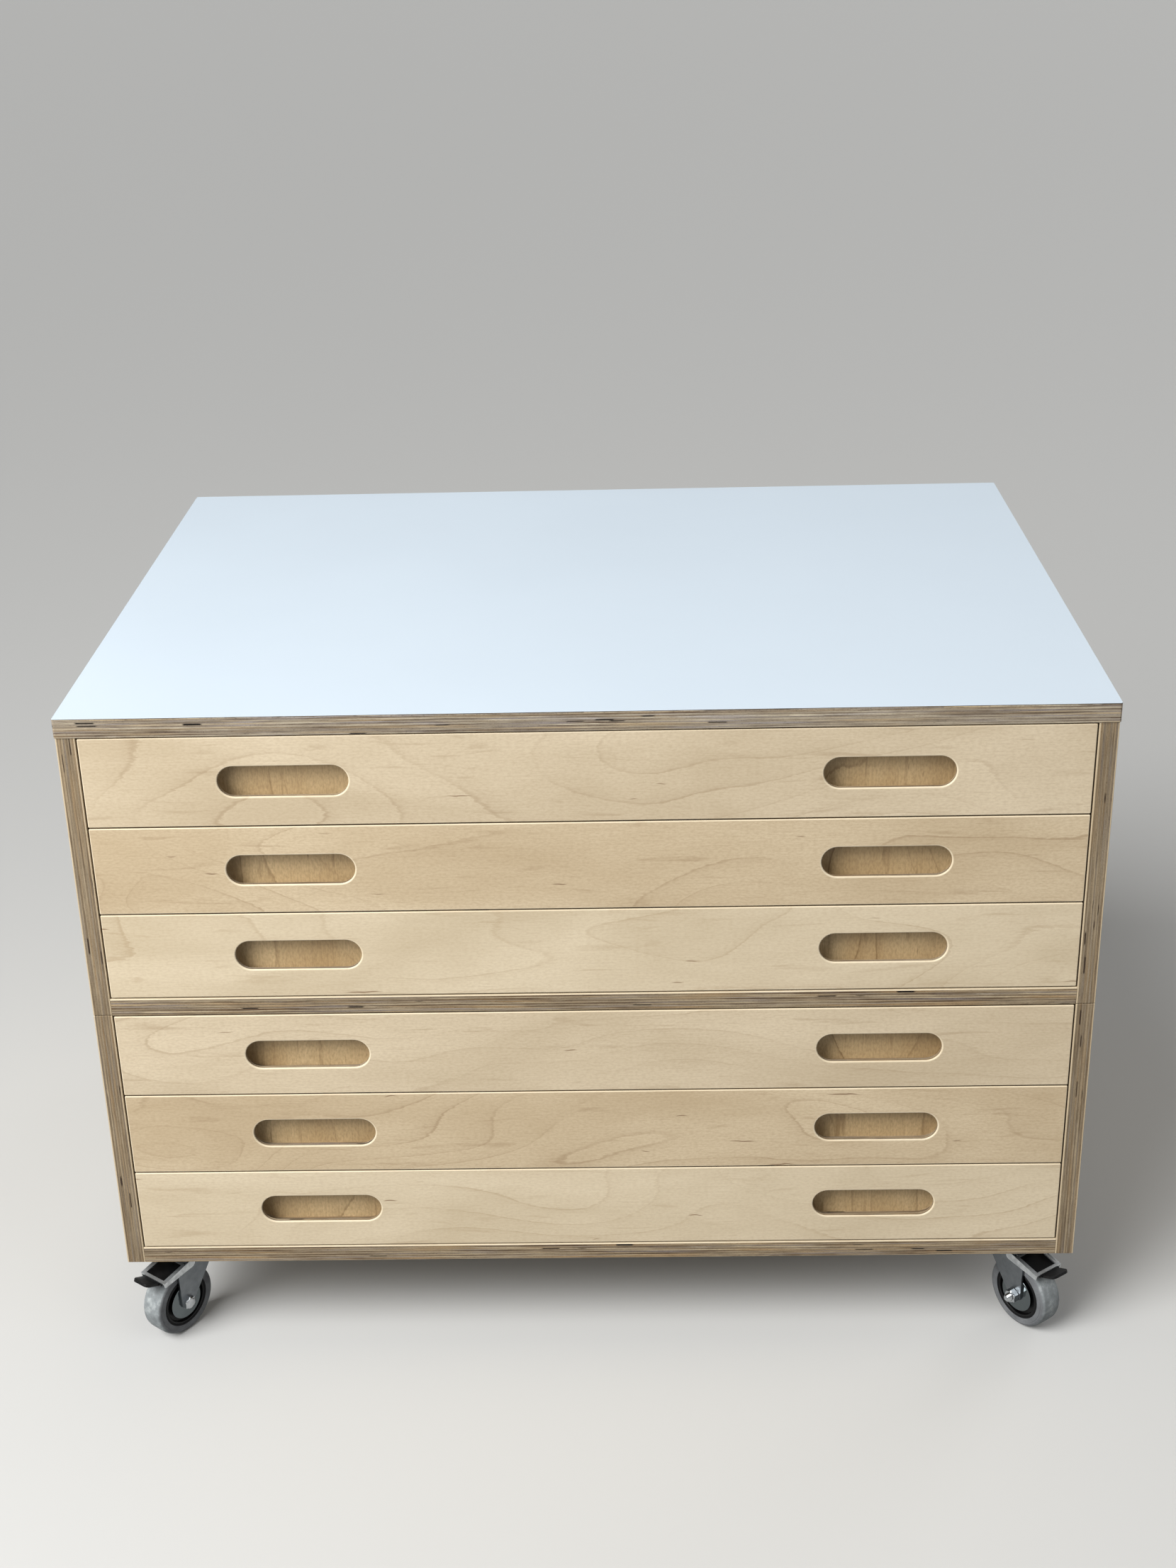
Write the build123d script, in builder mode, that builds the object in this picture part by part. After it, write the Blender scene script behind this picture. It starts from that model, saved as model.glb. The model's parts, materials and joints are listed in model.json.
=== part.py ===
"""Plan chest: two stacked plywood modules of three shallow drawers each, on four swivel castors.

Millimetres. The origin is on the floor under the middle of the chest, +Z is up, the drawers open
towards -Y and +X is the long way. Drawer 1 is the uppermost drawer and drawer 6 the lowest.
"""
from build123d import *
from math import cos, radians, sin, tan
import os

# Carcass boards
top_width = 960.0
top_depth = 704.0
top_overhang = 1.0
board = 18.0
laminate = 0.8
module_height = 290.0
back_board = 9.0
arris = 0.6
corner_radius = 2.0

# Dowels between the boards
dowel_diameter = 8.0
dowel_grip = 12.0
dowel_spacing = 280.0
dowel_end_play = 0.5

# Clearance of the fixed fits: dowels, screws and the axle bolt
fit_play = 0.05

# Drawer fronts and their finger slots
module_count = 2
rows = 3
front_gap = 1.5
slot_length = 120.0
slot_height = 30.0
slot_inset = 203.0
slot_lip = 4.0
slot_undercut = 8.0
slot_arris = 1.0

# Drawer boxes
box_board = 12.0
box_height = 70.0
box_lift = 6.0
box_rear_gap = 12.0
bottom_board = 6.0
bottom_lift = 6.0
groove_depth = 6.0
groove_play = 0.1

# Drawer runners, three members each
runner_length = 650.0
runner_height = 45.0
runner_thickness = 12.7
runner_sheet = 1.2
runner_reach = 9.5
runner_play = 0.4
runner_setback = 3.0

# Castors
castor_height = 102.0
king_inset_x = 57.0
king_inset_y = 53.0
trail = 31.0
heading = 54.0
plate_width = 67.0
plate_length = 95.0
plate_thickness = 2.5
plate_corner = 6.0
plate_holes_x = 45.0
plate_holes_y = 75.0
plate_hole_diameter = 6.5
race_radius = 23.0
race_bore_radius = 15.0
race_height = 4.0
swivel_gap = 0.3
running_play = 0.05
kingpin_radius = 6.0
kingpin_head_radius = 11.0
kingpin_head_height = 3.5

# Screws that hold the castor plates to the lower base
screw_radius = 2.4
screw_head_radius = 4.8
screw_head_height = 3.2
screw_grip = 13.0
screw_tip_play = 1.0
screw_head_round = 1.2

# Castor forks
fork_sheet = 2.5
crown_thickness = 3.0
leg_back = 16.0
leg_front = 40.0
leg_notch_start = 28.0
leg_flange = 9.0
leg_end_radius = 8.0

# Castor wheels
wheel_diameter = 75.0
tread_width = 25.0
tread_round = 4.0
rim_radius = 26.0
rim_lip = 2.5
hub_radius = 12.0
web_recess = 4.0
tyre_fit = 0.05
wheel_side_play = 1.2
axle_radius = 4.0
nut_across_flats = 13.0
nut_height = 6.8
bolt_head_height = 5.3
bolt_end = 5.0
bolt_end_round = 1.5
guard_radius = 19.5
guard_rim = 0.5
guard_gap = 0.3

# Brake pedals of the front castors
pivot_x = 22.0
pivot_z = 81.0
pedal_slope = 10.0
pedal_press = 10.0
pedal_sheet = 1.2
pedal_reach = 38.0
pedal_rise = 2.5
cheek_gap = 0.3
pedal_leg_gap = 0.8
cheek_pivot_radius = 4.5
cheek_end_length = 8.0
cheek_end_drop = 1.5
pin_radius = 2.5
window_start = 9.0
window_length = 25.5
window_width = 26.0
pad_thickness = 2.0
pad_start = 3.0
pad_side_gap = 0.3
tab_slope = 34.0
tab_length = 18.0
tab_width = 22.0
tab_thickness = 2.6
tab_round = 5.0

# Sizes that follow from the ones above
carcass_width = top_width - 2 * top_overhang
carcass_depth = top_depth - 2 * top_overhang
inner_width = carcass_width - 2 * board
opening_height = module_height - board
front_y = -carcass_depth / 2
back_y = carcass_depth / 2
module_levels = [castor_height + i * module_height for i in range(module_count)]
top_level = castor_height + module_count * module_height
side_x = (carcass_width - board) / 2

dowel_hole_radius = dowel_diameter / 2 + fit_play
dowel_hole_depth = dowel_grip + dowel_end_play
base_dowel_ys = [-dowel_spacing, 0, dowel_spacing]
edge_dowel_ys = [-dowel_spacing / 2, dowel_spacing / 2]

front_width = inner_width - 2 * front_gap
front_height = (opening_height - (rows + 1) * front_gap) / rows
slot_x = carcass_width / 2 - slot_inset
row_lifts = [board + front_gap + i * (front_height + front_gap) for i in range(rows)]
drawer_levels = sorted((z + lift for z in module_levels for lift in row_lifts), reverse=True)

box_width = inner_width - 2 * runner_thickness
box_front_y = front_y + board
box_depth = back_y - back_board - box_rear_gap - box_front_y
box_span = box_width - 2 * box_board
groove_height = bottom_board + 2 * groove_play
groove_z = box_lift + bottom_lift + bottom_board / 2
tongue = groove_depth - groove_play

runner_z = box_lift + box_height / 2
runner_rear_y = box_front_y + runner_setback + runner_length
runner_plane = Plane.XZ.offset(-runner_rear_y)

king_x = carcass_width / 2 - king_inset_x
king_y = carcass_depth / 2 - king_inset_y
plate_level = castor_height - plate_thickness
race_level = plate_level - race_height
crown_top = race_level - swivel_gap
crown_bottom = crown_top - crown_thickness
kingpin_head_top = crown_bottom - swivel_gap
screw_points = [
    (sx * king_x + hx * plate_holes_x / 2, sy * king_y + hy * plate_holes_y / 2)
    for sx in (-1, 1) for sy in (-1, 1) for hx in (-1, 1) for hy in (-1, 1)
]

wheel_radius = wheel_diameter / 2
leg_inner = tread_width / 2 + wheel_side_play
leg_outer = leg_inner + fork_sheet
axle_plane = Plane(origin=(trail, 0, wheel_radius), x_dir=(0, 1, 0), z_dir=(1, 0, 0))
axle_axis = Axis((trail, 0, wheel_radius), (0, 1, 0))
guard_inner = tread_width / 2 + guard_gap

slope = radians(pedal_slope)
pedal_plane = Plane((pivot_x, 0, pivot_z), (cos(slope), 0, -sin(slope)), (sin(slope), 0, cos(slope)))
cheek_inner = leg_outer + cheek_gap
cheek_outer = cheek_inner + pedal_sheet
pedal_top = pedal_rise + pedal_sheet
pad_width = 2 * (leg_inner - pad_side_gap)
wide_start = (leg_notch_start + pedal_leg_gap - pivot_x) / cos(slope)
notch_slope = radians(pedal_slope + pedal_press)
notch_end = leg_front + leg_end_radius
tab_start = pedal_reach + pad_side_gap + tab_thickness * sin(radians(tab_slope))
tab_lean = radians(pedal_slope - tab_slope)
tab_plane = Plane(
    pedal_plane.from_local_coords((tab_start, 0, pedal_rise - pad_thickness)),
    (cos(tab_lean), 0, -sin(tab_lean)),
    (sin(tab_lean), 0, cos(tab_lean)),
)


def write(label, *pieces):
    """Write one node: one solid, or a group of separate solids."""
    node = Compound([solid for piece in pieces for solid in piece.solids()])
    node.label = label
    export_step(node, f"parts/{label}.step")


def side_board(side, level, stacked):
    """A carcass side. A stacked one also takes dowels from the module below it."""
    edge_levels = [level, level + module_height] if stacked else [level + module_height]
    with BuildPart() as panel:
        with Locations((side * side_x, 0, level + module_height / 2)):
            Box(board, carcass_depth, module_height)
        fillet(panel.edges(), arris)
        with Locations(*[(side * side_x, y, z) for z in edge_levels for y in edge_dowel_ys]):
            Cylinder(dowel_hole_radius, 2 * dowel_hole_depth, mode=Mode.SUBTRACT)
        with Locations(*[(side * inner_width / 2, y, level + board / 2) for y in base_dowel_ys]):
            Cylinder(dowel_hole_radius, 2 * dowel_hole_depth, rotation=(0, 90, 0), mode=Mode.SUBTRACT)
    return panel.part


def base_board(level, carries_castors):
    """A module's base between its sides. The lowest one has pilot holes for the castor screws."""
    with BuildPart() as panel:
        with Locations((0, 0, level + board / 2)):
            Box(inner_width, carcass_depth, board)
        fillet(panel.edges(), arris)
        ends = [(side * inner_width / 2, y, level + board / 2) for side in (-1, 1) for y in base_dowel_ys]
        with Locations(*ends):
            Cylinder(dowel_hole_radius, 2 * dowel_hole_depth, rotation=(0, 90, 0), mode=Mode.SUBTRACT)
        if carries_castors:
            with Locations(*[(x, y, level) for x, y in screw_points]):
                Cylinder(screw_radius + fit_play, 2 * (screw_grip + screw_tip_play), mode=Mode.SUBTRACT)
    return panel.part


def back_panel(level):
    """A module's back, standing on the base between the sides."""
    with BuildPart() as panel:
        with Locations((0, back_y - back_board / 2, level + board + opening_height / 2)):
            Box(inner_width, back_board, opening_height)
        fillet(panel.edges(), arris)
    return panel.part


def channel(face_x, web_inward, height, reach):
    """Draw a pair of runner channels, mirrored left and right, with their webs at face_x."""
    for side in (-1, 1):
        web_x = face_x - web_inward * runner_sheet / 2
        flange_x = face_x - web_inward * reach / 2
        with Locations((side * web_x, runner_z)):
            Rectangle(runner_sheet, height)
        flange_z = (height - runner_sheet) / 2
        with Locations((side * flange_x, runner_z - flange_z), (side * flange_x, runner_z + flange_z)):
            Rectangle(reach, runner_sheet)


def box_rail(side):
    """A long side of a drawer box, grooved for the bottom."""
    with BuildPart() as rail:
        with Locations((side * (box_width - box_board) / 2, box_front_y + box_depth / 2, box_lift + box_height / 2)):
            Box(box_board, box_depth, box_height)
        with Locations((side * box_span / 2, box_front_y + box_depth / 2, groove_z)):
            Box(2 * groove_depth, box_depth, groove_height, mode=Mode.SUBTRACT)
    return rail.part


def box_end(face_y, inward):
    """The front or the back board of a drawer box, between its sides and grooved for the bottom."""
    with BuildPart() as end:
        with Locations((0, face_y + inward * box_board / 2, box_lift + box_height / 2)):
            Box(box_span, box_board, box_height)
        with Locations((0, face_y + inward * box_board, groove_z)):
            Box(box_span, 2 * groove_depth, groove_height, mode=Mode.SUBTRACT)
    return end.part


def notch_height(x):
    """Height of a braked fork's leg at x, just under the pedal when it is pressed."""
    return pivot_z - (x - pivot_x) * tan(notch_slope) + (pedal_rise - pedal_leg_gap) / cos(notch_slope)


def swivel_fork(braked):
    """A pressed fork around the wheel, turning on the kingpin. A braked one is notched for the pedal."""
    crown_front = leg_notch_start if braked else leg_front
    with BuildPart() as fork:
        with BuildSketch(Plane.XY.offset(crown_bottom)):
            Circle(race_radius)
            with Locations(((crown_front - leg_back) / 2, 0)):
                Rectangle(crown_front + leg_back, 2 * leg_outer)
            Circle(kingpin_radius + running_play, mode=Mode.SUBTRACT)
        extrude(amount=crown_thickness)
        for outer_y in (leg_outer, -leg_inner):
            with BuildSketch(Plane.XZ.offset(-outer_y)):
                with Locations((trail, wheel_radius)):
                    Circle(leg_end_radius)
                with Locations(((leg_front - leg_back) / 2, crown_top - leg_flange / 2)):
                    Rectangle(leg_front + leg_back, leg_flange)
                make_hull()
                with Locations((trail, wheel_radius)):
                    Circle(axle_radius + fit_play, mode=Mode.SUBTRACT)
                if braked:
                    with Locations((pivot_x, pivot_z)):
                        Circle(pin_radius + running_play, mode=Mode.SUBTRACT)
                    with BuildLine():
                        Polyline(
                            (leg_notch_start, crown_top),
                            (leg_notch_start, notch_height(leg_notch_start)),
                            (notch_end, notch_height(notch_end)),
                            (notch_end, crown_top),
                            close=True,
                        )
                    make_face(mode=Mode.SUBTRACT)
            extrude(amount=fork_sheet)
    return fork.part


def guard_disc(side):
    """A dished steel disc between the wheel hub and a fork leg."""
    with BuildPart() as disc:
        with BuildSketch(axle_plane):
            with BuildLine():
                Polyline(
                    (side * guard_inner, axle_radius + fit_play),
                    (side * leg_inner, axle_radius + fit_play),
                    (side * leg_inner, leg_end_radius),
                    (side * (guard_inner + guard_rim), guard_radius),
                    (side * guard_inner, guard_radius),
                    close=True,
                )
            make_face()
        revolve(axis=axle_axis)
    return disc.part


os.makedirs("parts", exist_ok=True)

# Top
with BuildPart() as top_panel:
    with BuildSketch(Plane.XY.offset(top_level)):
        RectangleRounded(top_width, top_depth, corner_radius)
    extrude(amount=board)
    fillet(top_panel.faces().sort_by(Axis.Z)[0].edges(), arris)
    with Locations(*[(side * side_x, y, top_level) for side in (-1, 1) for y in edge_dowel_ys]):
        Cylinder(dowel_hole_radius, 2 * dowel_hole_depth, mode=Mode.SUBTRACT)

with BuildPart() as top_laminate:
    with BuildSketch(Plane.XY.offset(top_level + board)):
        RectangleRounded(top_width, top_depth, corner_radius)
    extrude(amount=laminate)

write("top_panel", top_panel.part)
write("top_laminate", top_laminate.part)

# The two modules, the lower one on the castors
for index, (name, level) in enumerate(zip(("lower", "upper"), module_levels)):
    write(f"{name}_left_side", side_board(-1, level, index > 0))
    write(f"{name}_right_side", side_board(1, level, index > 0))
    write(f"{name}_base", base_board(level, index == 0))
    write(f"{name}_back", back_panel(level))

# Dowels: upright in the edges of the sides, lying in the ends of the bases
edge_dowel_levels = module_levels[1:] + [top_level]
with BuildPart() as carcass_dowels:
    with Locations(*[(s * side_x, y, z) for s in (-1, 1) for y in edge_dowel_ys for z in edge_dowel_levels]):
        Cylinder(dowel_diameter / 2, 2 * dowel_grip)
    base_ends = [
        (s * inner_width / 2, y, z + board / 2) for s in (-1, 1) for y in base_dowel_ys for z in module_levels
    ]
    with Locations(*base_ends):
        Cylinder(dowel_diameter / 2, 2 * dowel_grip, rotation=(0, 90, 0))

write("carcass_dowels", carcass_dowels.part)

# One drawer, drawn with the front's lower edge at height zero
slot_points = [(-slot_x, front_height / 2), (slot_x, front_height / 2)]
with BuildPart() as drawer_front:
    with Locations((0, front_y + board / 2, front_height / 2)):
        Box(front_width, board, front_height)
    fillet(drawer_front.edges(), arris)
    with BuildSketch(Plane.XZ.offset(-front_y)):
        with Locations(*slot_points):
            SlotOverall(slot_length, slot_height)
    extrude(amount=-board, mode=Mode.SUBTRACT)
    with BuildSketch(Plane.XZ.offset(-front_y - slot_lip)):
        with Locations(*slot_points):
            SlotOverall(slot_length + 2 * slot_undercut, slot_height + 2 * slot_undercut)
    extrude(amount=-board, mode=Mode.SUBTRACT)
    face = drawer_front.faces().sort_by(Axis.Y)[0]
    fillet([edge for wire in face.inner_wires() for edge in wire.edges()], slot_arris)

with BuildPart() as drawer_bottom:
    with Locations((0, box_front_y + box_depth / 2, groove_z)):
        Box(box_span + 2 * tongue, box_depth - 2 * box_board + 2 * tongue, bottom_board)

box_pieces = [
    box_rail(-1),
    box_rail(1),
    box_end(box_front_y, 1),
    box_end(box_front_y + box_depth, -1),
    drawer_bottom.part,
]

# One pair of runners. The outer channels face inwards, the middle ones lie inside them, and the inner
# ones, on the drawer box, face outwards into the middle ones.
middle_height = runner_height - 2 * (runner_sheet + runner_play)
inner_height = middle_height - 2 * (runner_sheet + runner_play)
middle_face_x = inner_width / 2 - runner_sheet - runner_play
middle_reach = runner_reach - runner_sheet - runner_play

with BuildPart() as outer_members:
    with BuildSketch(runner_plane):
        channel(inner_width / 2, 1, runner_height, runner_reach)
    extrude(amount=runner_length)

with BuildPart() as middle_members:
    with BuildSketch(runner_plane):
        channel(middle_face_x, 1, middle_height, middle_reach)
    extrude(amount=runner_length)

with BuildPart() as inner_members:
    with BuildSketch(runner_plane):
        channel(box_width / 2, -1, inner_height, middle_reach)
    extrude(amount=runner_length)

places = [Location((0, 0, level)) for level in drawer_levels]
for number, place in enumerate(places, start=1):
    write(f"drawer_{number}_front", drawer_front.part.moved(place))
    write(f"drawer_{number}_box", *[piece.moved(place) for piece in box_pieces])
    write(f"drawer_{number}_runner_inner", inner_members.part.moved(place))
    write(f"drawer_{number}_runner_middle", middle_members.part.moved(place))

write("runner_outers", *[outer_members.part.moved(place) for place in places])

# Castor plates with their kingpins, and their screws
with BuildPart() as castor_plates:
    with BuildSketch(Plane.XY.offset(plate_level)):
        with GridLocations(2 * king_x, 2 * king_y, 2, 2):
            RectangleRounded(plate_width, plate_length, plate_corner)
        with Locations(*screw_points):
            Circle(plate_hole_diameter / 2, mode=Mode.SUBTRACT)
    extrude(amount=plate_thickness)
    with BuildSketch(Plane.XY.offset(race_level)):
        with GridLocations(2 * king_x, 2 * king_y, 2, 2):
            Circle(race_radius)
            Circle(race_bore_radius, mode=Mode.SUBTRACT)
    extrude(amount=race_height)
    with BuildSketch(Plane.XY.offset(kingpin_head_top)):
        with GridLocations(2 * king_x, 2 * king_y, 2, 2):
            Circle(kingpin_radius)
    extrude(amount=plate_level - kingpin_head_top)
    with BuildSketch(Plane.XY.offset(kingpin_head_top)):
        with GridLocations(2 * king_x, 2 * king_y, 2, 2):
            Circle(kingpin_head_radius)
    extrude(amount=-kingpin_head_height)

with BuildPart() as castor_screws:
    with Locations(*[(x, y, plate_level - screw_head_height / 2) for x, y in screw_points]):
        Cylinder(screw_head_radius, screw_head_height)
    fillet(castor_screws.edges().group_by(Axis.Z)[0], screw_head_round)
    shank = plate_thickness + screw_grip
    with Locations(*[(x, y, plate_level + shank / 2) for x, y in screw_points]):
        Cylinder(screw_radius, shank)

write("castor_plates", castor_plates.part)
write("castor_screws", castor_screws.part)

# One wheel, drawn under a kingpin at the origin and trailing towards +X
half_tread = tread_width / 2
with BuildPart() as wheel_hub:
    with BuildSketch(axle_plane):
        with BuildLine():
            half = [
                (half_tread, axle_radius + running_play),
                (half_tread, hub_radius),
                (half_tread - web_recess, hub_radius),
                (half_tread - web_recess, rim_radius - rim_lip),
                (half_tread, rim_radius - rim_lip),
                (half_tread, rim_radius),
            ]
            Polyline(*half, *[(-y, r) for y, r in reversed(half)], close=True)
        make_face()
    revolve(axis=axle_axis)

tyre_bore = rim_radius + tyre_fit
with BuildPart() as tyre:
    with BuildSketch(axle_plane) as tyre_section:
        with Locations((0, (tyre_bore + wheel_radius) / 2)):
            Rectangle(tread_width, wheel_radius - tyre_bore)
        fillet(tyre_section.vertices().group_by(Axis.Y)[-1], tread_round)
    revolve(axis=axle_axis)

# The axle bolt, with its head on the +Y leg and its nut on the -Y leg
with BuildPart() as axle_bolt:
    shaft_start = -(leg_outer + nut_height + bolt_end)
    with BuildSketch(Plane.XZ.offset(-shaft_start)):
        with Locations((trail, wheel_radius)):
            Circle(axle_radius)
    extrude(amount=shaft_start - leg_outer)
    fillet(axle_bolt.faces().sort_by(Axis.Y)[0].edges(), bolt_end_round)
    with BuildSketch(Plane.XZ.offset(-leg_outer)):
        with Locations((trail, wheel_radius)):
            RegularPolygon(nut_across_flats / 2, 6, major_radius=False)
    extrude(amount=-bolt_head_height)

with BuildPart() as axle_nut:
    with BuildSketch(Plane.XZ.offset(leg_outer)):
        with Locations((trail, wheel_radius)):
            RegularPolygon(nut_across_flats / 2, 6, major_radius=False)
            Circle(axle_radius + fit_play, mode=Mode.SUBTRACT)
    extrude(amount=nut_height)

axle_pieces = [axle_bolt.part, axle_nut.part, guard_disc(-1), guard_disc(1)]

# The brake pedal, hinged on the fork legs and wide over their notches, and the pad under it with its foot tab
with BuildPart() as brake_pedal:
    with BuildSketch(pedal_plane.offset(pedal_rise)):
        with Locations((pedal_reach / 2, 0)):
            Rectangle(pedal_reach, pad_width)
        with Locations(((wide_start + pedal_reach) / 2, 0)):
            Rectangle(pedal_reach - wide_start, 2 * cheek_outer)
        with Locations((window_start + window_length / 2, 0)):
            Rectangle(window_length, window_width, mode=Mode.SUBTRACT)
    extrude(amount=pedal_sheet)
    for outer_y in (cheek_outer, -cheek_inner):
        with BuildSketch(Plane((pivot_x, outer_y, pivot_z), pedal_plane.x_dir, (0, -1, 0))):
            Circle(cheek_pivot_radius)
            end_height = pedal_top + cheek_end_drop
            with Locations((pedal_reach - cheek_end_length / 2, pedal_top - end_height / 2)):
                Rectangle(cheek_end_length, end_height)
            make_hull()
        extrude(amount=pedal_sheet)
    for outer_y in (cheek_inner, -leg_inner):
        with BuildSketch(Plane((pivot_x, outer_y, pivot_z), pedal_plane.x_dir, (0, -1, 0))):
            Circle(pin_radius)
        extrude(amount=cheek_inner - leg_inner)

with BuildPart() as brake_pad:
    with BuildSketch(pedal_plane.offset(pedal_rise - pad_thickness)):
        with Locations(((pad_start + tab_start) / 2, 0)):
            Rectangle(tab_start - pad_start, pad_width)
    extrude(amount=pad_thickness)
    with BuildSketch(tab_plane) as tab_outline:
        with Locations((tab_length / 2, 0)):
            Rectangle(tab_length, tab_width)
        fillet(tab_outline.vertices().group_by(Axis.X)[-1], tab_round)
    extrude(amount=tab_thickness)

# The four castors, turned outwards as they stand
braked_fork = swivel_fork(True)
plain_fork = swivel_fork(False)
turn = radians(heading)
for end_name, end in (("front", -1), ("rear", 1)):
    for side_name, side in (("left", -1), ("right", 1)):
        stand = Plane((side * king_x, end * king_y, 0), (side * cos(turn), end * sin(turn), 0), (0, 0, 1))
        place = stand.location
        name = f"{end_name}_{side_name}"
        braked = end_name == "front"
        write(f"{name}_fork", (braked_fork if braked else plain_fork).moved(place))
        write(f"{name}_axle", *[piece.moved(place) for piece in axle_pieces])
        write(f"{name}_wheel_hub", wheel_hub.part.moved(place))
        write(f"{name}_tyre", tyre.part.moved(place))
        if braked:
            write(f"{name}_brake_pedal", brake_pedal.part.moved(place))
            write(f"{name}_brake_pad", brake_pad.part.moved(place))
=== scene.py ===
"""Looks of the plan chest: plywood boards with layered edges, a white laminate top and four castors."""
import json
import random
from math import cos, pi, radians, sin

import bmesh
import bpy
from mathutils import Matrix, Vector


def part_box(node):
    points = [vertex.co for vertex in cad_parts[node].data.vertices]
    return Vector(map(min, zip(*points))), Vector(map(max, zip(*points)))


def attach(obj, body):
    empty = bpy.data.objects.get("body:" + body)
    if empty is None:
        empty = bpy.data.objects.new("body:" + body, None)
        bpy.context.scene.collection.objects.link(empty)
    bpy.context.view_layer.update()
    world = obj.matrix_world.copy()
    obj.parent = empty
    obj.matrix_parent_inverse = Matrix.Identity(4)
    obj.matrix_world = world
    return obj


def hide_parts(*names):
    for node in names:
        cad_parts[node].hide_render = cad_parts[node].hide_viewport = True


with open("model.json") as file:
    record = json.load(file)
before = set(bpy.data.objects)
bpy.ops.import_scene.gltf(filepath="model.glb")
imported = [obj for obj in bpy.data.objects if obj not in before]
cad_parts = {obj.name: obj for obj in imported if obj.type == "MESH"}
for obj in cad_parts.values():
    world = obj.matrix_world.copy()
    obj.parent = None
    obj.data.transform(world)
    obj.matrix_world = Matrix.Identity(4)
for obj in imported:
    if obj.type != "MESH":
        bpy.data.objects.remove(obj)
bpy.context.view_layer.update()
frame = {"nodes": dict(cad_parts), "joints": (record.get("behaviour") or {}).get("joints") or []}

X, Y, Z = 0, 1, 2

# Boards and finger slots, in metres, as in the solids
ARRIS = 0.0006
TOP_CORNER = 0.002
BOX_BOARD = 0.012
BOTTOM_BOARD = 0.006
BOTTOM_LIFT = 0.006
SLOT_LENGTH = 0.120
SLOT_HEIGHT = 0.030
SLOT_INSET = 0.203
SLOT_LIP = 0.004
SLOT_UNDERCUT = 0.008

# Boards, in metres, as only the looks have them: other roundings, plies and the seam between the modules
SLOT_ROUND = 0.0016
FRONT_ARRIS = 0.0009
FRONT_CORNER = 0.0010
TOP_ARRIS = 0.0004
SHEET_ARRIS = 0.00025
PLY_PITCH = 0.00138
VENEER = 0.0012
SEAM = 0.0006

# Largest shift of a board's grain, in metres
GRAIN_SHIFT = 40

# Least part of a normal along the board's thickness that makes a face, or an arris
FACE_SHARE = 0.999
ARRIS_SHARE = 0.25

# Castors, in metres, as in the solids
WHEEL_RADIUS = 0.0375
TREAD_HALF = 0.0125
SHOULDER = 0.004
RIM_RADIUS = 0.026
AXLE_RADIUS = 0.004
FIT = 0.00005
LEG_INNER = 0.0137
LEG_OUTER = 0.0162
GUARD_INNER = 0.0128
GUARD_RADIUS = 0.0195
LEG_END_RADIUS = 0.008
NUT_FLATS = 0.013
NUT_HEIGHT = 0.0068
BOLT_HEAD = 0.0053
BOLT_END = 0.005

# Castors, in metres, as only the looks have them: black rim band, crowned tread, chamfers, thread and closed ends
RIM_BAND = 0.0281
CROWN = WHEEL_RADIUS - 0.0002
NUT_CORNERS = NUT_FLATS * 0.6
NUT_CHAMFER = NUT_FLATS * 0.47
BOLT_CHAMFER = 0.0012
THREAD_PITCH = 0.00125
THREAD_DEPTH = 0.0006
POLE = 0.00002

# Sides of turned pieces, as (place along the axle, radius)
TYRE_SIDE = [(TREAD_HALF - 0.0008, RIM_RADIUS + FIT), (TREAD_HALF - 0.0001, RIM_RADIUS + 0.0014),
             (TREAD_HALF, RIM_RADIUS + 0.0024), (TREAD_HALF, 0.0324), (TREAD_HALF - 0.0003, 0.0327),
             (TREAD_HALF - 0.0001, 0.0330)]
TREAD_SIDE = [(0.005, WHEEL_RADIUS - 0.00006)]
HUB_SIDE = [(0.0125, AXLE_RADIUS + FIT), (0.0125, 0.0115), (0.0120, 0.0120), (0.0088, 0.0125), (0.0085, 0.0132),
            (0.0085, 0.0222), (0.0090, 0.0232), (0.0116, 0.0237), (0.0121, 0.0242),
            (0.0121, RIM_RADIUS - 0.0006), (0.0116, RIM_RADIUS)]
GUARD_DISC = [(GUARD_INNER, AXLE_RADIUS), (LEG_INNER, AXLE_RADIUS), (LEG_INNER, LEG_END_RADIUS),
              (0.01364, 0.0095), (0.01342, 0.0150), (0.01334, GUARD_RADIUS - 0.0016),
              (0.01336, GUARD_RADIUS - 0.0009), (0.01330, GUARD_RADIUS - 0.0004),
              (0.01314, GUARD_RADIUS - 0.0001), (0.01296, GUARD_RADIUS), (0.01284, GUARD_RADIUS - 0.0002),
              (GUARD_INNER, GUARD_RADIUS - 0.0006)]

# Broken edges of the CAD nodes that stay, in metres, and the angle from which an edge is sharp
EDGE_BREAK = 0.0004
FORK_BREAK = 0.0006
PEDAL_BREAK = 0.0005
PAD_BREAK = 0.0006
WELD_REACH = 0.000004
SHARP_ANGLE = radians(40)

# Camera of the photograph: place and turn in the chest's frame, and lens on a 36 mm tall sensor
CAMERA_PLACE = Vector((0.0461, -2.0653, 1.4011))
CAMERA_TURN = (radians(65.7516), radians(1.3244), radians(0.8715))
CAMERA_LENS = 47.5
SENSOR_HEIGHT = 36.0

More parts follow.
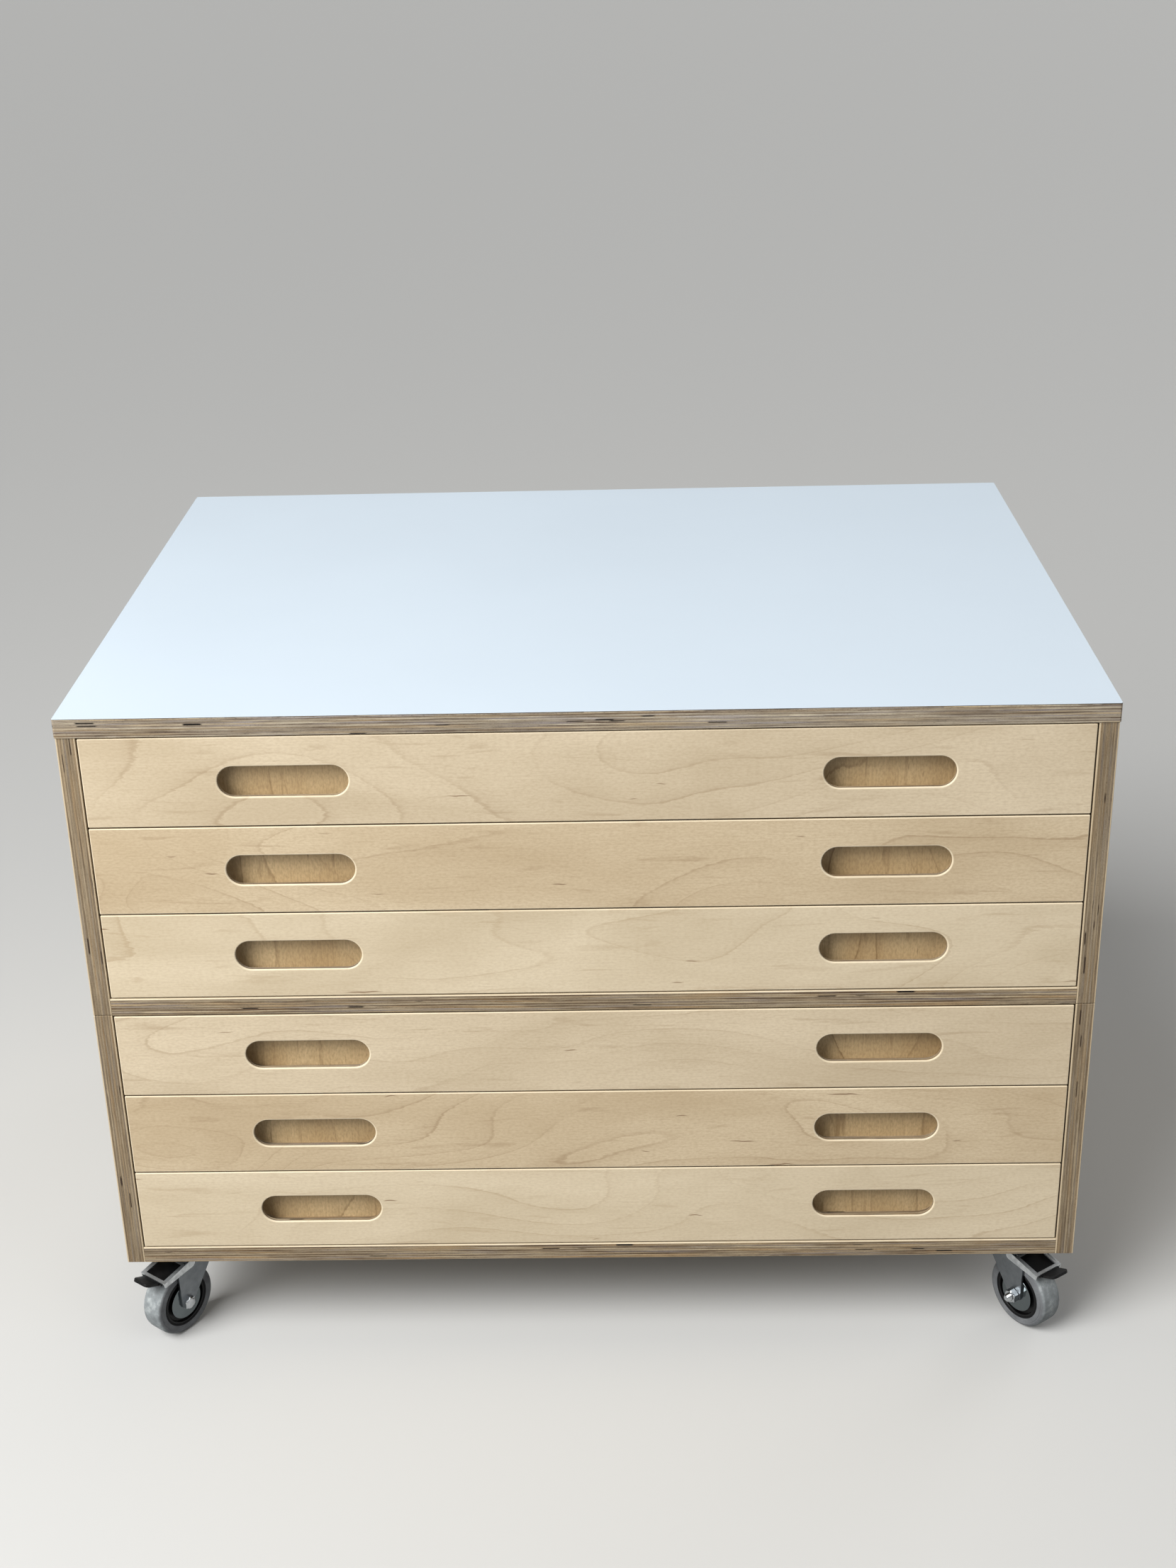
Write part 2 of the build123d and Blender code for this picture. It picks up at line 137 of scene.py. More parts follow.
# Studio: half the floor's width in metres, room light, backdrop as it is seen,
# and lamps as (name, kind, place, aim, power, shape)
FLOOR_SIZE = 30.0
ROOM_LIGHT = 0.25
BACKDROP = 0.60
LAMPS = (
    ("sky", "SUN", (-1.1, -1.35, 2.0), (0.0, -0.35, 0.4), 2.0, {"angle": radians(32)}),
    ("key", "AREA", (-1.45, -1.55, 1.65), (-0.3, -0.35, 0.4), 50,
     {"shape": "RECTANGLE", "size": 1.7, "size_y": 1.5}),
    ("fill", "AREA", (2.2, -1.9, 2.3), (0.1, -0.35, 0.4), 17,
     {"shape": "RECTANGLE", "size": 2.2, "size_y": 1.8}),
    ("back_fill", "SUN", (1.5, 1.8, 0.7), (0.0, 0.0, 0.4), 1.2, {"angle": radians(30)}),
)


def srgb(r, g, b):
    """A colour written as it looks on screen, from 0 to 255, as linear RGBA."""
    values = [v / 255 for v in (r, g, b)]
    return [v / 12.92 if v <= 0.04045 else ((v + 0.055) / 1.055) ** 2.4 for v in values] + [1.0]


def grey(level):
    """A linear grey for a mask."""
    return (level, level, level, 1)


class Shader:
    """A material and short calls that add nodes to it."""

    def __init__(self, name):
        self.material = bpy.data.materials.new(name)
        self.material.use_nodes = True
        self.tree = self.material.node_tree
        self.surface = self.tree.nodes["Principled BSDF"]

    def put(self, node, socket, value):
        if isinstance(value, bpy.types.NodeSocket):
            self.tree.links.new(value, node.inputs[socket])
        elif value is not None:
            node.inputs[socket].default_value = value

    def node(self, kind, inputs, **settings):
        node = self.tree.nodes.new("ShaderNode" + kind)
        for key, value in settings.items():
            setattr(node, key, value)
        for socket, value in inputs.items():
            self.put(node, socket, value)
        return node

    def add(self, kind, inputs, output=0, **settings):
        return self.node(kind, inputs, **settings).outputs[output]

    def uv(self):
        return self.add("UVMap", {}, uv_map="grain")

    def uv_parts(self):
        return self.node("SeparateXYZ", {0: self.uv()}).outputs[:2]

    def place(self):
        return self.add("TexCoord", {}, output="Object")

    def stretch(self, vector, *scale):
        return self.add("Mapping", {"Vector": vector, "Scale": scale})

    def noise(self, vector, scale=1.0, detail=2.0, roughness=0.5, distortion=0.0):
        inputs = {"Vector": vector, "Scale": scale, "Detail": detail, "Roughness": roughness,
                  "Distortion": distortion}
        return self.add("TexNoise", inputs)

    def grain_noise(self, uv, along, across, **settings):
        """Noise that is scaled on its own along the grain and across it."""
        return self.noise(self.stretch(uv, along, across, 1.0), **settings)

    def cells(self, vector):
        return self.node("TexVoronoi", {"Vector": vector, "Scale": 1.0}, voronoi_dimensions="2D").outputs

    def math(self, operation, a, b=None, clamp=False):
        return self.add("Math", {0: a, 1: b}, operation=operation, use_clamp=clamp)

    def times(self, a, b, clamp=False):
        return self.math("MULTIPLY", a, b, clamp)

    def remap(self, value, low, high, to_low=0.0, to_high=1.0):
        inputs = {"Value": value, "From Min": low, "From Max": high, "To Min": to_low, "To Max": to_high}
        return self.add("MapRange", inputs)

    def ramp(self, value, *stops):
        """Colour along a value, from (position, colour) stops."""
        node = self.node("ValToRGB", {0: value})
        while len(node.color_ramp.elements) < len(stops):
            node.color_ramp.elements.new(0.5)
        for element, (position, colour) in zip(node.color_ramp.elements, stops):
            element.position = position
            element.color = colour
        return node.outputs[0]

    def mix(self, factor, a, b):
        """A blend of two colours. The node's colour sockets share names, so they go by number."""
        return self.add("Mix", {0: factor, 6: a, 7: b}, output=2, data_type="RGBA")

    def bump(self, height, strength, distance):
        return self.add("Bump", {"Height": height, "Strength": strength, "Distance": distance})

    def finish(self, **sockets):
        for name, value in sockets.items():
            self.put(self.surface, name.replace("_", " "), value)
        return self.material


def dashes(s, uv, per_metre, length, slimness):
    """Scattered short marks along the grain, each up to a length and that many times slimmer."""
    wave = s.grain_noise(uv, 60.0, 60.0, detail=1.0)
    bent = s.add("CombineXYZ", {1: s.times(s.math("SUBTRACT", wave, 0.5), 0.004)})
    place = s.add("VectorMath", {0: uv, 1: bent}, operation="ADD")
    cells = s.cells(s.stretch(place, per_metre, per_metre * slimness, 1.0))
    chance = s.add("SeparateColor", {0: cells["Color"]})
    reach = s.remap(chance, 0.25, 1.0, 0.0, length * per_metre / 2)
    inside = s.math("SUBTRACT", reach, cells["Distance"])
    return s.remap(inside, 0.0, length * per_metre / 5)


def birch_face(name, pale, deep, figure, streak, contrast):
    """Rotary-cut birch veneer. The map runs along the grain in u and across it in v, in metres."""
    s = Shader(name)
    uv = s.uv()
    blotch = s.grain_noise(uv, 4.0, 11.0, detail=4.0, roughness=0.55, distortion=0.4)
    colour = s.ramp(blotch, (0.34, pale), (0.66, deep))
    # Growth rings cut through by the peeling knife leave contour lines of a slow field
    ripple = s.grain_noise(uv, 45.0, 420.0, detail=3.0)
    field = s.grain_noise(uv, 2.4, 6.0, detail=1.5, roughness=0.4, distortion=0.3)
    level = s.math("ADD", s.times(field, 15.0), s.times(ripple, 0.16))
    ring = s.math("FRACT", level)
    line = s.ramp(ring, (0.0, grey(0.6)), (0.03, grey(1)), (0.075, grey(0.30)), (0.30, grey(0.08)),
                  (1.0, grey(0)))
    fade = s.remap(s.grain_noise(uv, 4.0, 9.0, detail=2.0), 0.38, 0.66)
    colour = s.mix(s.times(s.times(line, fade), 0.70 * contrast), colour, figure)
    # Fibres, fine grain and darker wisps
    fibre = s.grain_noise(uv, 22.0, 800.0, detail=3.0, roughness=0.6)
    colour = s.mix(s.remap(fibre, 0.42, 0.78, 0.0, 0.20 * contrast), colour, figure)
    grain = s.grain_noise(uv, 240.0, 520.0, detail=3.0, roughness=0.6)
    colour = s.mix(s.remap(grain, 0.40, 0.72, 0.0, 0.36 * contrast), colour, figure)
    wisp = s.remap(s.grain_noise(uv, 12.0, 110.0, detail=2.0, distortion=0.8), 0.62, 0.74)
    colour = s.mix(s.times(wisp, 0.45 * contrast), colour, figure)
    # Short brown flecks and a few longer ones
    colour = s.mix(s.times(dashes(s, uv, 3.4, 0.017, 11.0), 0.75), colour, streak)
    colour = s.mix(s.times(dashes(s, uv, 1.2, 0.040, 20.0), 0.75), colour, streak)
    rough = s.remap(fibre, 0.3, 0.7, 0.42, 0.54)
    return s.finish(Base_Color=colour, Roughness=rough, Normal=s.bump(fibre, 0.12, 0.0003))


def ply_edge(name, light, dark, warm, cool, void):
    """Sawn plywood edge. The map runs along the edge in u, in metres, and counts plies in v."""
    s = Shader(name)
    along, level = s.uv_parts()

    def layered(per_metre, per_ply, rows):
        return s.add("CombineXYZ", {0: s.times(along, per_metre), 1: s.times(rows, per_ply)})

    # Plies of uneven thickness whose borders wander a little
    wander = s.noise(layered(5.0, 0.6, level), detail=5.0, roughness=0.65)
    plies = s.math("ADD", level, s.remap(wander, 0.2, 0.8, -0.9, 0.9))
    ply = s.math("FLOOR", plies)
    within = s.math("ABSOLUTE", s.math("SUBTRACT", s.math("FRACT", plies), 0.5))
    cross = s.math("MODULO", ply, 2.0)
    tone = s.noise(layered(6.0, 7.3, ply), detail=5.0, roughness=0.65)
    mixed = s.math("ADD", s.times(cross, 0.34), s.remap(tone, 0.32, 0.68, 0.0, 0.80), clamp=True)
    colour = s.mix(mixed, light, dark)
    tint = s.noise(layered(9.0, 3.7, ply), detail=2.0)
    colour = s.mix(s.remap(tint, 0.52, 0.68, 0.0, 0.6), colour, warm)
    colour = s.mix(s.remap(tint, 0.46, 0.32, 0.0, 0.6), colour, cool)
    # Fibres, specks, and the pores of every second ply
    fibre = s.noise(layered(40.0, 4.0, plies), detail=5.0, roughness=0.65)
    colour = s.mix(s.remap(fibre, 0.42, 0.75, 0.0, 0.75), colour, dark)
    speck = s.noise(layered(420.0, 9.0, plies), detail=2.0, roughness=0.6)
    colour = s.mix(s.remap(speck, 0.50, 0.78, 0.0, 0.45), colour, void)
    pore = s.remap(s.noise(layered(700.0, 2.0, plies), detail=1.0), 0.55, 0.75)
    colour = s.mix(s.times(s.times(pore, cross), 0.35), colour, void)
    # Glue lines between the plies, and short gaps inside some
    glue = s.times(s.remap(within, 0.36, 0.50), s.remap(tone, 0.35, 0.60, 0.15, 0.65))
    colour = s.mix(glue, colour, void)
    spot = s.cells(layered(7.0, 3.0, ply))["Distance"]
    gap = s.times(s.remap(spot, 0.070, 0.055), s.remap(within, 0.44, 0.30), clamp=True)
    colour = s.mix(gap, colour, void)
    height = s.math("SUBTRACT", s.times(fibre, 0.3), s.math("ADD", gap, s.times(glue, 0.3)))
    return s.finish(Base_Color=colour, Roughness=0.75, Specular_IOR_Level=0.2,
                    Normal=s.bump(height, 0.5, 0.0004))


def white_laminate(name):
    """Satin white sheet with a faint cloud and a fine pebble; its cool blue tint is painted sky light."""
    s = Shader(name)
    place = s.place()
    cloud = s.noise(s.stretch(place, 3.0, 3.0, 3.0), detail=3.0)
    # Bluish white: the blue cast is painted sky light
    colour = s.ramp(cloud, (0.3, srgb(200, 212, 222)), (0.7, srgb(203, 215, 225)))
    pebble = s.noise(place, scale=2600.0, detail=1.0)
    rough = s.remap(s.noise(place, scale=9.0, detail=4.0), 0.3, 0.7, 0.54, 0.64)
    return s.finish(Base_Color=colour, Roughness=rough, Specular_IOR_Level=0.3,
                    Normal=s.bump(pebble, 0.04, 0.0001))


def laminate_core(name):
    """Dark core that shows along the laminate's edge."""
    s = Shader(name)
    colour = s.ramp(s.noise(s.place(), scale=120.0), (0.3, srgb(40, 34, 30)), (0.7, srgb(66, 57, 50)))
    return s.finish(Base_Color=colour, Roughness=0.55)


def zinc(name, tint, low, high):
    """Zinc-plated steel with a faint mottle and rubbed marks, between a low and a high roughness."""
    s = Shader(name)
    place = s.place()
    mottle = s.noise(place, scale=160.0, detail=4.0)
    colour = s.mix(s.remap(mottle, 0.3, 0.7, 0.0, 0.45), tint, srgb(96, 101, 105))
    scuff = s.noise(s.stretch(place, 90.0, 900.0, 400.0), detail=2.0)
    rough = s.remap(s.math("ADD", mottle, s.times(scuff, 0.6)), 0.5, 1.1, low, high)
    return s.finish(Base_Color=colour, Metallic=1.0, Roughness=rough, Normal=s.bump(mottle, 0.05, 0.0002))


def black_plastic(name):
    """Black moulding with a trace of dust and a fine pebble."""
    s = Shader(name)
    place = s.place()
    dust = s.remap(s.noise(place, scale=60.0, detail=5.0), 0.5, 0.8)
    colour = s.mix(s.times(dust, 0.02), srgb(6, 6, 7), srgb(120, 116, 108))
    pebble = s.noise(place, scale=1800.0, detail=1.0)
    rough = s.remap(dust, 0.0, 1.0, 0.36, 0.6)
    return s.finish(Base_Color=colour, Roughness=rough, Specular_IOR_Level=0.2,
                    Normal=s.bump(pebble, 0.15, 0.0002))


def grey_rubber(name):
    """Grey tyre with a dusty tread, darker sides and a black rim band, on the map that lathe makes."""
    s = Shader(name)
    radius, along = s.uv_parts()
    across = s.math("ABSOLUTE", along)
    place = s.place()
    scuff = s.noise(place, scale=70.0, detail=6.0, roughness=0.65)
    tread = s.ramp(scuff, (0.32, srgb(110, 114, 115)), (0.52, srgb(136, 141, 142)),
                   (0.72, srgb(184, 189, 188)))
    side = s.ramp(scuff, (0.30, srgb(94, 96, 98)), (0.75, srgb(126, 128, 130)))
    colour = s.mix(s.remap(across, TREAD_HALF - 0.0016, TREAD_HALF - 0.0004), tread, side)
    colour = s.mix(s.remap(radius, RIM_BAND, RIM_BAND - 0.0003), colour, srgb(6, 6, 7))
    pebble = s.noise(place, scale=900.0, detail=2.0)
    return s.finish(Base_Color=colour, Roughness=0.72, Specular_IOR_Level=0.2,
                    Normal=s.bump(pebble, 0.2, 0.0002))


def beech(name):
    """Raw beech of the dowels."""
    s = Shader(name)
    fleck = s.noise(s.stretch(s.place(), 300.0, 300.0, 300.0), detail=2.0)
    colour = s.ramp(fleck, (0.3, srgb(206, 170, 130)), (0.7, srgb(176, 136, 98)))
    return s.finish(Base_Color=colour, Roughness=0.7)


FACE = birch_face("birch_face", srgb(213, 197, 169), srgb(195, 178, 149), srgb(156, 133, 103),
                  srgb(112, 82, 54), contrast=0.8)
# Pale outer veneer, made paler than the faces as a painted highlight on the arrises and slot mouths
VENEER_AND_HIGHLIGHT = birch_face("birch_veneer_and_highlight", srgb(226, 212, 184), srgb(216, 200, 170), srgb(186, 160, 122),
                 srgb(150, 118, 84), contrast=0.5)
WARM = birch_face("birch_warm", srgb(209, 191, 160), srgb(191, 171, 139), srgb(150, 125, 94),
                  srgb(106, 76, 50), contrast=0.9)
PALE = birch_face("birch_pale", srgb(216, 201, 173), srgb(199, 183, 154), srgb(163, 139, 106),
                  srgb(116, 86, 58), contrast=0.7)
INNER = birch_face("birch_inner", srgb(212, 187, 144), srgb(188, 160, 117), srgb(122, 94, 60),
                   srgb(92, 66, 40), contrast=1.1)
EDGE = ply_edge("ply_edge", srgb(200, 183, 152), srgb(92, 73, 55), srgb(182, 150, 106), srgb(146, 138, 134),
                srgb(18, 12, 9))
TOP_EDGE = ply_edge("top_edge", srgb(208, 196, 172), srgb(100, 84, 70), srgb(184, 160, 122), srgb(164, 158, 158),
                    srgb(18, 12, 9))
SIDE_EDGE = ply_edge("side_edge", srgb(176, 159, 131), srgb(106, 90, 70), srgb(158, 132, 97), srgb(138, 129, 118),
                     srgb(58, 46, 36))
SIDE_LIP = birch_face("birch_side_lip", srgb(204, 187, 157), srgb(192, 174, 143), srgb(160, 134, 100),
                      srgb(126, 98, 70), contrast=0.6)
LAMINATE = white_laminate("white_laminate")
CORE = laminate_core("laminate_core")
# Fork and plate zinc, darker than its own colour as painted shade and painted dark reflection
ZINC_PAINTED_SHADE = zinc("zinc_steel", srgb(120, 124, 127), 0.26, 0.46)
BRIGHT = zinc("bright_zinc", srgb(196, 199, 201), 0.10, 0.24)
# Guard disc zinc, darker than its own colour as painted dark reflection and painted shade
GUARD_PAINTED_SHADE = zinc("guard_zinc_painted_shade", srgb(104, 111, 112), 0.08, 0.18)
PEDAL = zinc("pedal_zinc", srgb(212, 215, 216), 0.36, 0.56)
RUNNER = zinc("runner_steel", srgb(206, 209, 210), 0.22, 0.38)
PLASTIC = black_plastic("black_plastic")
RUBBER = grey_rubber("grey_rubber")
BEECH = beech("beech_dowel")

# Materials of boards, as (faces, inner plies, arrises with outer plies), and of the fronts from the top down. The
# arris material is the pale outer veneer, made paler than the faces as a painted highlight
BOARD = (FACE, EDGE, VENEER_AND_HIGHLIGHT)
SIDE_BOARD = (FACE, SIDE_EDGE, SIDE_LIP)
TOP_BOARD = (FACE, TOP_EDGE, TOP_EDGE)
TOP_SHEET = (LAMINATE, CORE, LAMINATE)
DRAWER_BOARD = (INNER, EDGE, INNER)
FRONTS = (FACE, WARM, PALE, FACE, WARM, PALE)


def piece_from(bm, name, body, nodes, materials):
    """Turn a bmesh into a smooth-shaded piece that rides on a body and stands for CAD nodes."""
    mesh = bpy.data.meshes.new(name)
    bm.normal_update()
    bm.to_mesh(mesh)
    bm.free()
    for material in materials:
        mesh.materials.append(material)
    mesh.shade_smooth()
    mesh.set_sharp_from_angle(angle=SHARP_ANGLE)
    piece = bpy.data.objects.new(name, mesh)
    bpy.context.scene.collection.objects.link(piece)
    weigh = piece.modifiers.new("even_shading", "WEIGHTED_NORMAL")
    weigh.keep_sharp = True
    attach(piece, body)
    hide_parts(*nodes)


def map_board(bm, low, thin, grain, thickness, seed):
    """Grain map of a board, and its material slots: 0 for faces, 1 for inner plies, 2 for arrises and outer plies.

    A lying board has slot 2 on its upper half only, and a thin sheet has it on its arrises only. Slot 2 is paler
    as a painted highlight, and the lower half of a lying board takes slot 1 instead as painted shade.
    """
    rng = random.Random(seed)
    shift = Vector((rng.uniform(0, GRAIN_SHIFT), rng.uniform(0, GRAIN_SHIFT)))
    plies = max(5, 2 * round((thickness / PLY_PITCH - 1) / 2) + 1)
    across = 3 - thin - grain
    layer = bm.loops.layers.uv.new("grain")
    for face in bm.faces:
        size = [abs(v) for v in face.normal]
        flat = size[thin] > ARRIS_SHARE
        height = face.calc_center_median()[thin] - low[thin]
        # The lower half of a lying board faces down, so its outer ply and arrises get the darker slot 1 as painted
        # shade
        shaded = thin == Z and height < thickness / 2
        outer = min(height, thickness - height) < VENEER < thickness / 4 and not shaded
        if size[thin] > FACE_SHARE:
            face.material_index = 0
        else:
            face.material_index = 2 if outer or flat and not shaded else 1
        facing = max((a for a in (X, Y, Z) if a != thin), key=lambda a: size[a])
        along = 3 - thin - facing
        for loop in face.loops:
            at = loop.vert.co
            if flat:
                loop[layer].uv = (at[grain] + shift.x, at[across] + shift.y)
            elif outer:
                loop[layer].uv = (at[along] + shift.x, at[thin] + shift.y)
            else:
                loop[layer].uv = (at[along] + shift.x, (at[thin] - low[thin]) / thickness * plies)


def board(name, low, high, thin, grain, body, nodes, slot="birch_ply", faces=BOARD, corner=0.0, arris=ARRIS):
    """A board between two points, with softened edges and, if asked for, round corners."""
    bm = bmesh.new()
    middle = (Vector(low) + Vector(high)) / 2
    size = Vector(high) - Vector(low)
    bmesh.ops.create_cube(bm, size=1.0, matrix=Matrix.Translation(middle) @ Matrix.Diagonal((*size, 1.0)))
    if corner:
        upright = [e for e in bm.edges if abs((e.verts[0].co - e.verts[1].co)[thin]) > size[thin] / 2]
        bmesh.ops.bevel(bm, geom=upright, offset=corner, segments=5, profile=0.5, affect="EDGES")
    bm.normal_update()
    sharp = [e for e in bm.edges if e.calc_face_angle(0) > radians(50)]
    bmesh.ops.bevel(bm, geom=sharp, offset=arris, segments=3, profile=0.5, affect="EDGES")
    through = Vector([1.0 if axis == thin else 0.0 for axis in (X, Y, Z)])
    for height in (low[thin] + VENEER, high[thin] - VENEER):
        everything = bm.verts[:] + bm.edges[:] + bm.faces[:]
        bmesh.ops.bisect_plane(bm, geom=everything, plane_co=through * height, plane_no=through)
    bm.normal_update()
    map_board(bm, low, thin, grain, size[thin], name)
    piece_from(bm, name, body, nodes, faces)


def ring_of(bm, points):
    return [bm.verts.new(point) for point in points]


def wall(bm, one, two):
    """Quads between two closed rings of as many vertices."""
    count = len(one)
    for i in range(count):
        j = (i + 1) % count
        bm.faces.new((one[i], one[j], two[j], two[i]))


def stadium(centre_x, centre_z, length, height, depth, steps=20):
    """A round-ended slot outline in the XZ plane."""
    radius = height / 2
    half = length / 2 - radius
    points = []
    for side in (1, -1):
        for k in range(steps + 1):
            turn = side * (pi / 2 - pi * k / steps)
            x = centre_x + side * half + side * radius * cos(turn)
            points.append((x, depth, centre_z + radius * sin(turn)))
    return points


def rounded_frame(low, high, inset, depth, radius, steps=3):
    """A rectangle outline in the XZ plane with small round corners."""
    points = []
    corners = ((high.x, high.z, 0), (low.x, high.z, 1), (low.x, low.z, 2), (high.x, low.z, 3))
    for corner_x, corner_z, quarter in corners:
        side_x = 1 if quarter in (0, 3) else -1
        side_z = 1 if quarter in (0, 1) else -1
        for k in range(steps + 1):
            turn = (quarter + k / steps) * pi / 2
            x = corner_x - side_x * radius + (radius - inset) * cos(turn)
            z = corner_z - side_z * radius + (radius - inset) * sin(turn)
            points.append((x, depth, z))
    return points


def quarter_round(radius, steps=4):
    """(inset, depth) pairs of an edge rounding, from the face to the side."""
    turns = [pi / 2 * k / steps for k in range(steps + 1)]
    return [(radius * (1 - sin(t)), radius * (1 - cos(t))) for t in turns]


def drawer_front(number, face):
    """A front with two undercut finger slots behind a thin rounded lip."""
    node = f"drawer_{number}_front"
    low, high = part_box(node)
    left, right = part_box("lower_left_side")[0].x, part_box("lower_right_side")[1].x
    middle_z = (low.z + high.z) / 2
    thickness = high.y - low.y
    bm = bmesh.new()

    edge = quarter_round(FRONT_ARRIS) + [(0.0, VENEER), (0.0, thickness - VENEER), (0.0, thickness)]
    outer = [ring_of(bm, rounded_frame(low, high, inset, low.y + depth, FRONT_CORNER)) for inset, depth in edge]
    for one, two in zip(outer, outer[1:]):
        wall(bm, one, two)

    rings = [(SLOT_LENGTH + 2 * flare, SLOT_HEIGHT + 2 * flare, low.y + depth)
             for flare, depth in quarter_round(SLOT_ROUND)]
    wide = (SLOT_LENGTH + 2 * SLOT_UNDERCUT, SLOT_HEIGHT + 2 * SLOT_UNDERCUT)
    rings += [(SLOT_LENGTH, SLOT_HEIGHT, low.y + SLOT_LIP), (*wide, low.y + SLOT_LIP), (*wide, high.y)]
    mouths, backs = [], []
    for middle_x in (left + SLOT_INSET, right - SLOT_INSET):
        made = [ring_of(bm, stadium(middle_x, middle_z, *ring)) for ring in rings]
        for one, two in zip(made, made[1:]):
            wall(bm, one, two)
        mouths.append(made[0])
        backs.append(made[-1])

    for frame_ring, holes in ((outer[0], mouths), (outer[-1], backs)):
        edges = []
        for ring in (frame_ring, *holes):
            for i, vert in enumerate(ring):
                edges.append(bm.edges.get((vert, ring[(i + 1) % len(ring)])))
        bmesh.ops.triangle_fill(bm, use_beauty=True, edges=edges)
    bmesh.ops.recalc_face_normals(bm, faces=bm.faces)
    bm.normal_update()
    map_board(bm, low, Y, X, thickness, node)
    piece_from(bm, node + "_board", f"drawer_{number}", [node], (face, EDGE, VENEER_AND_HIGHLIGHT))


def drawer_box(number):
    """The five boards of a drawer box."""
    node = f"drawer_{number}_box"
    body = f"drawer_{number}"
    low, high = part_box(node)
    inner_low = Vector((low.x + BOX_BOARD, low.y + BOX_BOARD, low.z + BOTTOM_LIFT))
    inner_high = Vector((high.x - BOX_BOARD, high.y - BOX_BOARD, low.z + BOTTOM_LIFT + BOTTOM_BOARD))
    uprights = (
        ("left", low, (low.x + BOX_BOARD, high.y, high.z), X, Y),
        ("right", (high.x - BOX_BOARD, low.y, low.z), high, X, Y),
        ("subfront", (inner_low.x, low.y, low.z), (inner_high.x, inner_low.y, high.z), Y, Z),
        ("rear", (inner_low.x, inner_high.y, low.z), (inner_high.x, high.y, high.z), Y, Z),
    )
    for name, *shape in uprights:
        board(f"{node}_{name}", *shape, body, [node], faces=DRAWER_BOARD)
    board(node + "_bottom", inner_low, inner_high, Z, X, body, [node])


def lathe(name, profile, joint, body, nodes, material, flats=None, steps=96):
    """A closed (along, radius) profile turned about a wheel joint's axis, or trimmed to a hexagon across flats.

    The map holds the radius and the place along the axle, in metres.
    """
    bm = bmesh.new()
    layer = bm.loops.layers.uv.new("grain")
    centre, axis = Vector(joint["pos_m"]), Vector(joint["axis"]).normalized()
    up = Vector((0, 0, 1))
    out = axis.cross(up).normalized()
    turns = [2 * pi * k / steps for k in range(steps)]
    rings, spots = [], {}
    for along, radius in profile:
        points = []
        for turn in turns:
            reach = radius
            if flats:
                reach = min(radius, flats / 2 / cos((turn + pi / 6) % (pi / 3) - pi / 6))
            points.append(centre + axis * along + (out * cos(turn) + up * sin(turn)) * reach)
        ring = ring_of(bm, points)
        spots.update((vert, (radius, along)) for vert in ring)
        rings.append(ring)
    for one, two in zip(rings, rings[1:] + rings[:1]):
        wall(bm, one, two)
    for face in bm.faces:
        for loop in face.loops:
            loop[layer].uv = spots[loop.vert]
    bmesh.ops.recalc_face_normals(bm, faces=bm.faces)
    piece_from(bm, name, body, nodes, (material,))


def arc(centre, radius, start, end, steps):
    """Points of an arc in a profile, angles in degrees."""
    turns = [radians(start + (end - start) * k / steps) for k in range(steps + 1)]
    return [(centre[0] + radius * cos(t), centre[1] + radius * sin(t)) for t in turns]


def flipped(profile):
    """A profile on the other side of the wheel."""
    return [(-along, radius) for along, radius in profile]


def wheel_joint(corner):
    return next(j for j in frame["joints"] if j["name"] == f"{corner}_wheel_spin")


def castor_wheel(corner):
    """Tyre and hub of one castor."""
    joint = wheel_joint(corner)
    body = f"{corner}_wheel"
    shoulder = arc((TREAD_HALF - SHOULDER, CROWN - SHOULDER), SHOULDER, 0, 86, 10)
    half = TYRE_SIDE + shoulder + TREAD_SIDE
    tyre = half + [(0.0, WHEEL_RADIUS)] + flipped(reversed(half))
    lathe(f"{corner}_tyre_ring", tyre, joint, body, [f"{corner}_tyre"], RUBBER)
    hub = HUB_SIDE + flipped(reversed(HUB_SIDE))
    lathe(f"{corner}_hub", hub, joint, body, [f"{corner}_wheel_hub"], PLASTIC)


